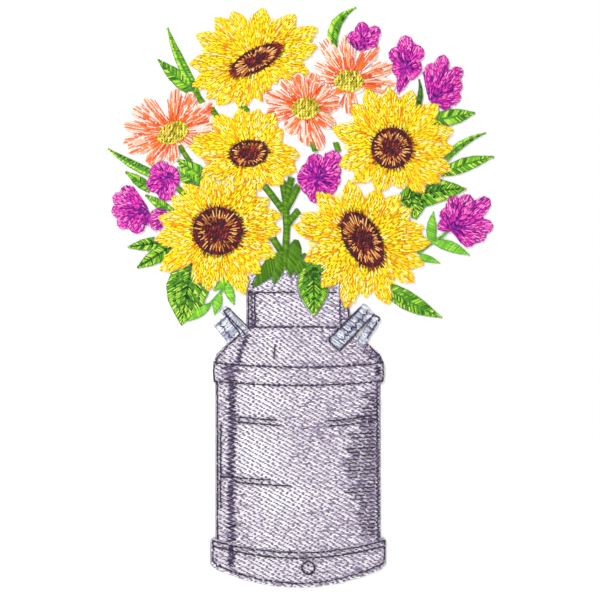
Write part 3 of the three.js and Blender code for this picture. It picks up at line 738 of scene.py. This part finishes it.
FEATHERED = {
    "leaf_over_neck": [leaf((3.6, 10), (4, -5.7), 9.2)],
    "leaf_heart_left": [leaf((-31.5, 10), (-34.6, -8.4), 12.6)],
    "leaf_top_left": [
        blade((-31.2, 61.2), (-38.8, 78.3), 2.8, 0.5), leaf((-29.5, 58.6), (-41.6, 69), 4.6, 0.3),
    ],
    "leaf_right_upper": [leaf((38, 51), (50.8, 53.3), 4.8)],
    "leaf_right_long": [leaf((40.6, 35.4), (56.3, 40.6), 4.2, 0.5)],
    "leaf_right_veined": [leaf((28.5, 27.5), (48.3, 31.2), 8, 1.2), leaf((31.5, 31.5), (33.5, 22.3), 9.5)],
    "leaf_lower_right": [leaf((23.5, 3.5), (41.2, -6.2), 5.6, -0.5)],
    "leaf_left_lower": [leaf((-38.5, 16), (-50.4, 14.3), 3.8), leaf((-37.5, 14.5), (-47.6, 8.2), 4.4)],
    "leaflet_left": [leaf((-42.5, 30.4), (-51, 36.4), 3.2)],
    "leaflet_by_blossom": [leaf((-36.5, 24), (-45.2, 29.6), 3)],
    "leaf_by_daisy": [leaf((-26, 33.5), (-36.2, 39.9), 4.6), leaf((-28, 31.5), (-37.4, 37.8), 4.6)],
}
VEINED = {"leaf_over_neck": 5, "leaf_heart_left": 5, "leaf_right_veined": 4, "leaf_left_lower": 3}

# The last two dyes are the underlay's, darker than the thread: painted shade between the stitches.
leaf_green = thread_and_underlay("leaf", (
    (0.0, (12, 40, 6)), (0.25, (54, 116, 10)), (0.5, (110, 180, 24)), (0.75, (162, 218, 50)),
    (1.0, (224, 242, 110)),
), (36, 90, 4), (84, 150, 14))


def feather(shape, draw):
    stitches = []
    for s in np.arange(0.0, 0.97, ROW / shape.length):
        for side in (-1, 1):
            s0 = s + draw.normal(0, 0.004)
            s1 = min(s0 + FEATHER_SLANT * shape.half_width(s0) / shape.length, 0.99)
            start = shape.at(s0, 0)
            end = shape.at(s1, side * (shape.half_width(s1) + draw.uniform(-0.1, 0.25)))
            reach = math.hypot(*(end - start))
            parts = max(1, round(reach / 2.2))
            cuts = [0, *[(k + draw.uniform(-0.2, 0.2)) / parts for k in range(1, parts)], 1]
            for near, far in zip(cuts, cuts[1:]):
                shade = draw.uniform(0.02, 0.86) + 0.4 * ((near + far) / 2) ** 2
                a, b = start + (end - start) * near, start + (end - start) * far
                stitches.append((*a, *b, float(np.clip(shade, 0, 1)), draw.normal(0, 0.04)))
    return stitches


def satin(shape, draw, shades=(0.3, 0.75), row=0.36, slant=0.5, tone=0.0):
    """Stitches from one edge of a blade to the other, which all lean the same way. With a tone, they meet
    near the midrib, and the half on the left is that much lighter and the other that much darker."""
    stitches = []
    for s in np.arange(0.0, 0.98, row / shape.length):
        s1 = min(s + slant * 2 * shape.half_width(s) / shape.length, 0.99)
        start = shape.at(s, -shape.half_width(s) - 0.08)
        end = shape.at(s1, shape.half_width(s1) + 0.08)
        shade, lift = draw.uniform(*shades), draw.normal(0, 0.03)
        if tone:
            middle = (start + end) / 2 + draw.normal(0, 0.08, 2)
            stitches.append((*start, *middle, max(0, shade - tone), lift))
            stitches.append((*middle, *end, min(1, shade + tone), lift))
        else:
            stitches.append((*start, *end, shade, lift))
    return stitches


def running(points, stitch, draw, shade=(0.0, 0.1), lift=0.2, wander=0.05):
    """A line of stitches end to end along a list of points."""
    stitches = []
    for near, far in zip(points, points[1:]):
        near, far = np.array(near, float), np.array(far, float)
        count = max(1, round(math.hypot(*(far - near)) / stitch))
        for k in range(count):
            a, b = near + (far - near) * k / count, near + (far - near) * (k + 1) / count
            a, b = a + draw.normal(0, wander, 2), b + draw.normal(0, wander, 2)
            stitches.append((*a, *b, draw.uniform(*shade), lift))
    return stitches


def kept(stitches, edges):
    """The stitches whose middle lies inside an outline."""
    rows = np.array(stitches)
    return [tuple(row) for row in rows[inside((rows[:, 0:2] + rows[:, 2:4]) / 2, edges)]]


def veins(shape, draw, pairs):
    lines = running([shape.at(0, 0), shape.at(0.45, 0), shape.at(0.9, 0)], 1.5, draw)
    for k in range(pairs):
        root = 0.12 + 0.66 * k / pairs
        for side in (-1, 1):
            reach = 0.72 * shape.half_width(root + 0.12)
            tip = shape.at(min(root + 0.75 * reach / shape.length, 0.95), side * reach)
            lines += running([shape.at(root, 0), tip], 1.5, draw)
    return lines


for node, shapes in FEATHERED.items():
    draw = np.random.default_rng(100 + len(node))
    stitches = []
    for shape in shapes:
        broad = shape.widths == tuple(width for _, width in LEAF_SHAPE)
        stitches += feather(shape, draw) if broad else satin(shape, draw, (0.35, 0.9), tone=0.16)
    if node in VEINED:
        for shape in shapes:
            stitches += veins(shape, draw, VEINED[node])
    stitches = kept(stitches, front_edges(node))
    sew(
        f"{node}_stitches", stitches, leaf_green, node, pile=LEAF_PILE,
        inset=0.45,
    )

BLADES = {
    "blade_top": blade((9.2, 72.3), (16.2, 84), 3.4, 2.5),
    "blade_right": blade((40.6, 38.4), (54, 47.6), 2.4, 1.3),
    "blade_left": blade((-42.5, 35.4), (-56, 43), 2.6, 0.5),
}
for node, shape in BLADES.items():
    draw = np.random.default_rng(130 + len(node))
    stitches = kept(satin(shape, draw, (0.25, 0.85), tone=0.2), front_edges(node))
    sew(
        f"{node}_stitches", stitches, leaf_green, node, pile=LEAF_PILE,
        width=0.42,
    )


# ---- Sprigs -------------------------------------------------------------------------------------
# Fine twigs with small light leaflets, in smooth satin.
SPRIGS = {
    "sprig_right": ([(34, 12.5), (38.5, 15.8), (41, 17.4), (43.6, 19.6)], [
        leaf((38.2, 15.2), (38.6, 24.8), 3, 0.4), leaf((38.6, 15.8), (49.2, 11.9), 3.2, 0.5),
        leaf((33, 11.8), (40.6, 9.6), 2.2, 0.3),
    ]),
    "sprig_left": ([(-27, -2.8), (-23.6, 0.6), (-20.4, 5.2)], [
        leaf((-21.4, 4.2), (-19.2, -2.4), 2.8, -0.2), leaf((-23.4, 1), (-25, -5.4), 2.8),
        leaf((-26.2, -2.2), (-32.6, -7.2), 2.8), leaf((-20.2, 5.4), (-25.4, 1.6), 2.4),
    ]),
}
# The last two dyes are the underlay's, darker than the thread: painted shade between the stitches.
light_green = thread_and_underlay("sprig", (
    (0.0, (60, 130, 20)), (0.4, (112, 190, 40)), (0.75, (152, 216, 72)), (1.0, (206, 238, 120)),
), (64, 130, 24), (110, 176, 48))
for node, (twig, leaflets) in SPRIGS.items():
    draw = np.random.default_rng(140 + len(node))
    stitches = [row for shape in leaflets for row in satin(shape, draw, (0.25, 0.85), 0.34, 0.4)]
    stitches += running(twig, 1.4, draw, (0.1, 0.4), 0.1) + running(twig, 1.7, draw, (0.1, 0.4), 0.0, 0.12)
    stitches = kept(stitches, front_edges(node))
    sew(
        f"{node}_stitches", stitches, light_green, node,
        pile=LEAF_PILE, width=0.4,
    )


# ---- Stems --------------------------------------------------------------------------------------
# Plain olive-green satin columns that gather at the churn's mouth, with short leaves over the rim.
STEMS = {
    "stems": (2.0, [
        [(-2.6, 34.6), (-4.4, 27), (-4, 20), (-4.6, 8)], [(-0.6, 32.2), (-2.4, 28.5), (-4.4, 25)],
        [(-5.2, 33.5), (-4.4, 28)], [(-10.8, 32.6), (-7.6, 28.4), (-4.6, 24.4)], [(-0.6, 25), (-3.8, 21)],
        [(-8.4, 17.4), (-5.2, 12.4)],
    ]),
    "stem_of_daisy": (1.5, [[(-35.2, 45), (-34.2, 42.2), (-32, 39)]]),
}
# Bits of stem that show between two flowers.
STEM_BITS = [
    [(-30.8, 59.6), (-28.4, 56.2)], [(-26, 54.8), (-24, 51.8)], [(-17.8, 56.2), (-15.4, 53.8)],
    [(3.4, 44.8), (4.4, 42)], [(10.2, 44.6), (11, 42.2)], [(-36.4, 32.3), (-33.6, 29.5)],
]
STEM_LEAVES = [
    leaf((-3.4, 13), (-13.8, 2.4), 5, -0.6), leaf((-5.5, 12.5), (-7.6, 3.6), 3.6),
    leaf((-1.2, 16.5), (-3, 5.6), 4.4), leaf((1.6, 12.5), (-1.4, 6), 3.4),
]
# The last two dyes are the underlay's, darker than the thread: painted shade between the stitches.
stem_green = thread_and_underlay("stem", (
    (0.0, (34, 74, 0)), (0.35, (70, 120, 0)), (0.7, (100, 152, 2)), (1.0, (150, 192, 20)),
), (36, 76, 0), (64, 112, 4))


def legs(points):
    """Each straight leg of a line: its start, its length, its direction and the direction to its left."""
    for near, far in zip(points, points[1:]):
        near, far = np.array(near, float), np.array(far, float)
        length = math.hypot(*(far - near))
        along = (far - near) / length
        yield near, length, along, np.array((-along[1], along[0]))


def column(points, width, draw, row=0.34):
    """Satin stitches across a strip that follows a list of points."""
    stitches = []
    for near, length, along, left in legs(points):
        side = left * width / 2
        for s in np.arange(0, length, row):
            a = near + along * (s - 0.3) - side
            b = near + along * (s + 0.3) + side
            stitches.append((*a, *b, draw.uniform(0.2, 0.8), draw.normal(0, 0.02)))
    return stitches


for node, (width, lines) in STEMS.items():
    draw = np.random.default_rng(150 + len(node))
    stitches = [row for line in lines for row in column(line, width, draw)]
    if node == "stems":
        stitches += [row for shape in STEM_LEAVES for row in satin(shape, draw, (0.1, 0.7), 0.36, 0.7)]
    stitches = kept(stitches, front_edges(node))
    if node == "stems":
        stitches += [row for bit in STEM_BITS for row in column(bit, width, draw, row=0.3)]
    sew(
        f"{node}_stitches", stitches, stem_green, node, pile=0.65,
        width=0.42,
    )

draw = np.random.default_rng(170)
stitches = satin(blade((33, 53.5), (34.3, 63.2), 1.8, -1.1), draw, (0.0, 0.5))
sew(
    "blade_under_blossom_stitches", kept(stitches, front_edges("blade_under_blossom")),
    stem_green, "blade_under_blossom", pile=LEAF_PILE, width=0.42,
)


# ---- Milk churn ---------------------------------------------------------------------------------
# Nearly level rows of lilac-grey stitches in brick order, lightest in a column left of the middle and
# darker to the right. The two handles are sewn in a bluer grey, along their own slope.
CHURN_X = -0.6
CHURN_HALF = 23.7
CHURN_ROW = 0.38
# Soft gleams on the metal: middle, width, height and how much lighter, or darker below nought.
GLEAMS = (
    (-12, -29, 6, 4, 0.42), (-12, -46, 7, 7, 0.42), (-4, -58, 8, 4, 0.46), (-7, -15, 5, 3, 0.2),
    (-6, -74, 9, 3, 0.12), (2, -40, 9, 5, -0.06), (-2, -4, 7, 4, 0.12),
)
# The last two dyes are the underlay's, darker than the thread: painted shade between the stitches.
lilac_grey = thread_and_underlay("churn", (
    (0.0, (96, 80, 110)), (0.2, (154, 142, 164)), (0.4, (206, 198, 210)), (0.6, (238, 234, 238)),
    (1.0, (255, 255, 255)),
), (84, 70, 100), (132, 118, 146), 0.5)


def churn_shade(draw, x, z):
    """How light the churn's rows are: lightest a third of the way in from the left."""
    u = (x - CHURN_X) / CHURN_HALF
    base = 0.55 + 0.12 * math.exp(-((u + 0.42) / 0.3) ** 2) - 0.14 * max(0, u - 0.4)
    for gleam_x, gleam_z, wide, high, light in GLEAMS:
        base += light * math.exp(-(((x - gleam_x) / wide) ** 2) - ((z - gleam_z) / high) ** 2)
    return float(np.clip(base + draw.normal(0, 0.17), 0, 1))


CHURN_FILLS = {"churn_neck": 2, "churn_shoulder": -5, "churn_band": 3, "churn_body": 3, "churn_base": 3}
for node, slope in CHURN_FILLS.items():
    draw = np.random.default_rng(200 + len(node))
    stitches = rows_across(
        front_edges(node), slope, CHURN_ROW, 2.0, churn_shade, draw, 0.7, gap=-0.02, wander=0.2,
    )
    sew(f"{node}_stitches", stitches, lilac_grey, node, pile=0.6, width=0.38)

# The last two dyes are the underlay's, darker than the thread: painted shade between the stitches.
bluish_grey = thread_and_underlay("handle", (
    (0.0, (84, 86, 112)), (0.3, (150, 156, 178)), (0.6, (208, 213, 224)), (1.0, (250, 251, 254)),
), (96, 100, 128), (146, 154, 178), 0.5)
for node, slope in {"handle_right": -34, "handle_left": 38}.items():
    draw = np.random.default_rng(220 + len(node))
    stitches = rows_across(
        front_edges(node), slope, CHURN_ROW, 4.5,
        lambda draw, x, z: float(np.clip(draw.normal(0.6, 0.24), 0, 1)), draw,
    )
    sew(
        f"{node}_stitches", stitches, bluish_grey, node, pile=0.65,
        width=0.42,
    )


# ---- Churn outlines -----------------------------------------------------------------------------
# Dark purple running stitch, gone over twice, along the churn's edges, bands and handles, in its
# pressed grooves and round the rivet. Loose zigzags and long stitches shade it where it turns away.
BAND_HALF, BASE_HALF = 24.7, 25.3
RIM_Z, NECK_Z, BAND_TOP_Z, BAND_Z, BODY_Z, BASE_Z = 1.2, -8.7, -19.3, -24.6, -70.6, -79.2
outline_thread = dyed_thread("outline_thread", (
    (0.0, (34, 20, 50)), (0.5, (70, 50, 90)), (1.0, (128, 112, 146)),
), 0.5)


def dip(half, z, sag):
    """A band's edge, which dips in the middle."""
    return [(CHURN_X + u * half, z - sag * (1 - u * u)) for u in np.linspace(-1, 1, 9)]


OUTLINES = [
    [(-15.1, 1.9), (-15.2, NECK_Z)],
    [(-13.3, RIM_Z), (-13.2, NECK_Z)],
    [(-15.3, RIM_Z), (13.6, RIM_Z)],
    [(-15, NECK_Z - 0.1), (13.8, NECK_Z - 0.1)],
    [(13.8, RIM_Z), (13.8, NECK_Z), (18.9, -13.2), (22.9, -17.3), (23.6, BAND_TOP_Z)],
    [(-15.2, NECK_Z), (-19.8, -13), (-24, -17.4), (-24.6, BAND_TOP_Z)],
    dip(BAND_HALF, BAND_TOP_Z + 0.1, 1.3),
    dip(BAND_HALF, BAND_Z + 0.1, 1.3),
    [(-25.2, BAND_TOP_Z), (-25.1, BAND_Z)],
    [(24, BAND_TOP_Z), (23.9, BAND_Z)],
    [(-24.1, BAND_Z), (-24.1, BODY_Z)],
    [(-23.1, -36.7), (-23.2, -61.5)],
    dip(BASE_HALF, BODY_Z - 0.1, 3.6),
    [(-25.5, BODY_Z), (-25.4, -76.6), (-23.8, -78.6)],
    [(24.4, BODY_Z), (24.2, -76.8), (22.4, -78.5)],
    dip(BASE_HALF - 1.8, BASE_Z + 1.2, 5.2),
]
# Finer lines: the lower line of the base's edge, the grooves in the body and a tick on the shoulder.
FINE_LINES = [
    dip(BASE_HALF - 0.4, BODY_Z - 1.7, 3.6),
    [(-18.6, -34.9), (-12, -35.5), (-6.6, -35.9)],
    [(-18.6, -36.3), (-12, -36.9), (-5.6, -37.4)],
    [(-23, -52.2), (-15, -52.8), (-8.4, -53.2)],
    [(-19, -53.8), (-10, -54.6), (-2.4, -54.9)],
    [(7.5, -36.2), (15, -35.4), (22.6, -34.2)],
    [(8.2, -37.6), (16, -36.9), (22.6, -35.6)],
    [(-7.4, -14), (-7.8, -18.2)],
]
# The two handles' edges, the right one's first.
TABS = [
    [(21.5, -5), (11.2, -15.7), (8, -12.6), (17.4, -3.2)],
    [(21.6, -5.4), (23, -6.2), (19.2, -12.2)],
    [(-21.9, -5.3), (-17.5, -10.8), (-20.8, -13.8)],
    [(-14.6, -9.5), (-20.9, -3.2), (-22.3, -4.4), (-16, -10.9)],
]
# Loose zigzags: the points they follow, how far they swing to either side, their step and shades.
ZIGZAGS = [
    ([(-19.9, BAND_Z - 0.6), (-20, -48), (-20.2, BODY_Z)], 1.3, 0.66, (0.05, 0.8)),
    ([(22.2, BAND_Z - 0.6), (22.5, BODY_Z)], 0.6, 0.6, (0, 0.7)),
    ([(-20.4, -19.9), (-20.2, -24.4)], 2.2, 0.8, (0.3, 1)),
    ([(-19.8, -72.4), (-20, -78)], 1.1, 0.6, (0, 0.7)),
    ([(22.4, -20.4), (22.4, -22.6)], 0.9, 0.5, (0, 0.5)),
    ([(-13, -6.6), (-15.6, -11.6), (-17.2, -15), (-18.2, -19)], 1.0, 0.62, (0, 0.8)),
    ([(-14.2, 4), (-14.3, -8.4)], 0.6, 0.7, (0.3, 1)),
    ([(11.4, 0.4), (11.6, -9.6)], 0.4, 0.6, (0.1, 0.8)),
    ([(18.4, -14.6), (22.2, -18.6)], 1.4, 1.2, (0.3, 1)),
]
TAB_ZIGZAGS = [
    ([(12, -12.8), (19, -4.8)], 0.6, 0.8, (0, 0.8)),
    ([(-23.6, -7.6), (-19.6, -12.6)], 0.6, 1.0, (0.4, 1)),
]


def zigzag(points, reach, step, draw, shades):
    stitches = []
    for near, length, along, left in legs(points):
        for k, s in enumerate(np.arange(0, length, step)):
            sign = 1 if k % 2 else -1
            swing = reach * (1 + draw.normal(0, 0.25)) * sign
            a = near + along * s - left * swing
            b = near + along * (s + step) + left * reach * (1 + draw.normal(0, 0.25)) * sign
            stitches.append((*a, *b, draw.uniform(*shades), 0.06 + draw.normal(0, 0.02)))
    return stitches


def shadow_rows(draw):
    """Long dark stitches over the rows on the churn's right side, furthest in at mid height."""
    stitches = []
    for z in np.arange(-28, -70, -1.05):
        reach = 3.2 + 5.5 * math.exp(-((z + 50) / 13) ** 2) + draw.normal(0, 1.3)
        left_end, right_end = 21.6 - reach, 21.8
        middle = (left_end + right_end) / 2 + draw.normal(0, 0.6)
        rise = 0.06 * (right_end - left_end)
        stitches.append((left_end, z - rise, middle, z - rise / 2, draw.uniform(0.1, 0.9), 0.06))
        stitches.append((middle, z - rise / 2, right_end, z, draw.uniform(0, 0.8), 0.06))
    return stitches


def clear_of(stitches, edges):
    """The stitches that no end or middle of which lies inside an outline."""
    rows = np.array(stitches)
    ends = (rows[:, 0:2], rows[:, 2:4], (rows[:, 0:2] + rows[:, 2:4]) / 2)
    hit = np.any([inside(points, edges) for points in ends], axis=0)
    return [tuple(row) for row in rows[~hit]]


OVER_CHURN = (
    "sunflower_lower_left_petals", "sunflower_lower_right_petals", "leaf_over_neck", "stems", "handle_left",
    "handle_right",
)
draw = np.random.default_rng(240)
stitches = []
for points in OUTLINES:
    stitches += running(points, 1.7, draw, (0, 0.35), 0.16, 0.06)
    stitches += running(points, 1.4, draw, (0, 0.6), 0.08, 0.12)
for points in FINE_LINES:
    stitches += running(points, 1.9, draw, (0, 0.2), 0.2, 0.04)
    stitches += running(points, 1.5, draw, (0, 0.4), 0.16, 0.06)
for points, reach, step, shades in ZIGZAGS:
    stitches += zigzag(points, reach, step, draw, shades)
stitches += shadow_rows(draw)
for node in OVER_CHURN:
    stitches = clear_of(stitches, front_edges(node))
for points, reach, step, shades in TAB_ZIGZAGS:
    stitches += zigzag(points, reach, step, draw, shades)
for points in TABS:
    stitches += running(points, 1.5, draw, (0, 0.35), 0.2, 0.05)
    stitches += running(points, 1.2, draw, (0, 0.6), 0.1, 0.08)
groove_underlay = packed_thread("groove_underlay", (142, 130, 154), (214, 207, 219))
sew(
    "churn_outline_stitches", stitches, [outline_thread, groove_underlay], "churn_outline",
    pile=0.95, width=0.42, padding=0.4, root=0.5, inset=-0.35,
)

RIVET_X, RIVET_Z, RIVET_RADIUS = CHURN_X + 2.8, BASE_Z + 0.5, 1.9
turns = np.linspace(0, 2 * math.pi, 13)
circle = [(RIVET_X + RIVET_RADIUS * math.cos(a), RIVET_Z + RIVET_RADIUS * math.sin(a)) for a in turns]
stitches = running(circle, 1.2, draw, (0, 0.2), 0.2, 0.04)
stitches += running(circle[3:11], 1.2, draw, (0, 0.3), 0.1, 0.12)
stitches += running(circle[5:13], 1.2, draw, (0, 0.3), 0.1, 0.16)
stitches += running([(RIVET_X, BASE_Z + 1.9), (RIVET_X + 0.1, BASE_Z + 0.7)], 1.2, draw, (0, 0.4), 0.1, 0.05)
sew(
    "rivet_ring_stitches", stitches, [outline_thread], "rivet_ring",
    pile=0.95, width=0.5, padding=0, root=0.5,
)


# ---- Bobbin thread ------------------------------------------------------------------------------
# Fine white bobbin thread on the back, which locks the front stitches. It is sewn behind a share of
# them, picked at random, over a white underlay.
BOBBIN_STITCHES = 4200
bobbin_white = thread_and_underlay("bobbin", (
    (0.0, (196, 194, 188)), (0.5, (228, 226, 220)), (1.0, (250, 249, 246)),
), (206, 204, 198), (236, 234, 228), 0.5)
draw = np.random.default_rng(260)
backed = np.array(sewn_through)
backed = backed[draw.permutation(len(backed))[:BOBBIN_STITCHES]]
backed[:, 4] = draw.uniform(0.2, 1, len(backed))
backing_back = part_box("bobbin_stitching")[0].y / MM
sew(
    "bobbin_stitches", backed, bobbin_white, "bobbin_stitching",
    pile=0.32, width=0.34, padding=0.12, face=backing_back, out=1,
)


# ---- Floor, light and camera --------------------------------------------------------------------
# A pale floor just under the motif, a lamp at the upper left and a weaker one behind, a white room all
# round, and a long lens square on to the motif.
FLOOR_HALF = 0.7
FLOOR_DROP = 0.002
SKY = 0.55  # what the white room gives from all sides

floor_mesh = bpy.data.meshes.new("floor")
table = bmesh.new()
bmesh.ops.create_grid(table, x_segments=1, y_segments=1, size=FLOOR_HALF)
bmesh.ops.translate(table, verts=table.verts, vec=(0, 0, cad_box[0].z - FLOOR_DROP))
table.to_mesh(floor_mesh)
table.free()
floor = put_in_scene("floor", floor_mesh)
pale = Finish("pale_floor", 0.9)
pale.shader.inputs["Base Color"].default_value = (0.85, 0.85, 0.85, 1)
pale.shader.inputs["Emission Color"].default_value = (1, 1, 1, 1)
pale.shader.inputs["Emission Strength"].default_value = 0.6
floor_mesh.materials.append(pale.material)

world = bpy.data.worlds.new("studio")
world.use_nodes = True
sky = world.node_tree.nodes["Background"]
seen = world.node_tree.nodes.new("ShaderNodeLightPath").outputs["Is Camera Ray"]
level = world.node_tree.nodes.new("ShaderNodeMapRange")
level.inputs["To Min"].default_value = SKY
level.inputs["To Max"].default_value = 1.0
world.node_tree.links.new(seen, level.inputs["Value"])
world.node_tree.links.new(level.outputs[0], sky.inputs[1])
sky.inputs[0].default_value = (1, 1, 1, 1)
bpy.context.scene.world = world


def lamp(name, place, aim, size, power):
    light = bpy.data.lights.new(name, "AREA")
    light.size = size
    light.energy = power
    holder = put_in_scene(name, light)
    holder.location = place
    holder.rotation_euler = (Vector(aim) - Vector(place)).to_track_quat("-Z", "Y").to_euler()


lamp("key_light", (-0.35, -0.5, 0.45), (0, 0, 0), 0.12, 3.7)
lamp("back_light", (0.3, 0.6, 0.4), (0, 0, 0), 0.3, 2.0)

camera_data = bpy.data.cameras.new("camera")
camera_data.lens = 150
camera_data.sensor_width = 36
camera = put_in_scene("camera", camera_data)
camera.location = (-0.000145, -0.727, -0.001)
camera.rotation_euler = (math.pi / 2, 0, 0)
bpy.context.scene.camera = camera
bpy.context.scene.view_settings.view_transform = "Standard"
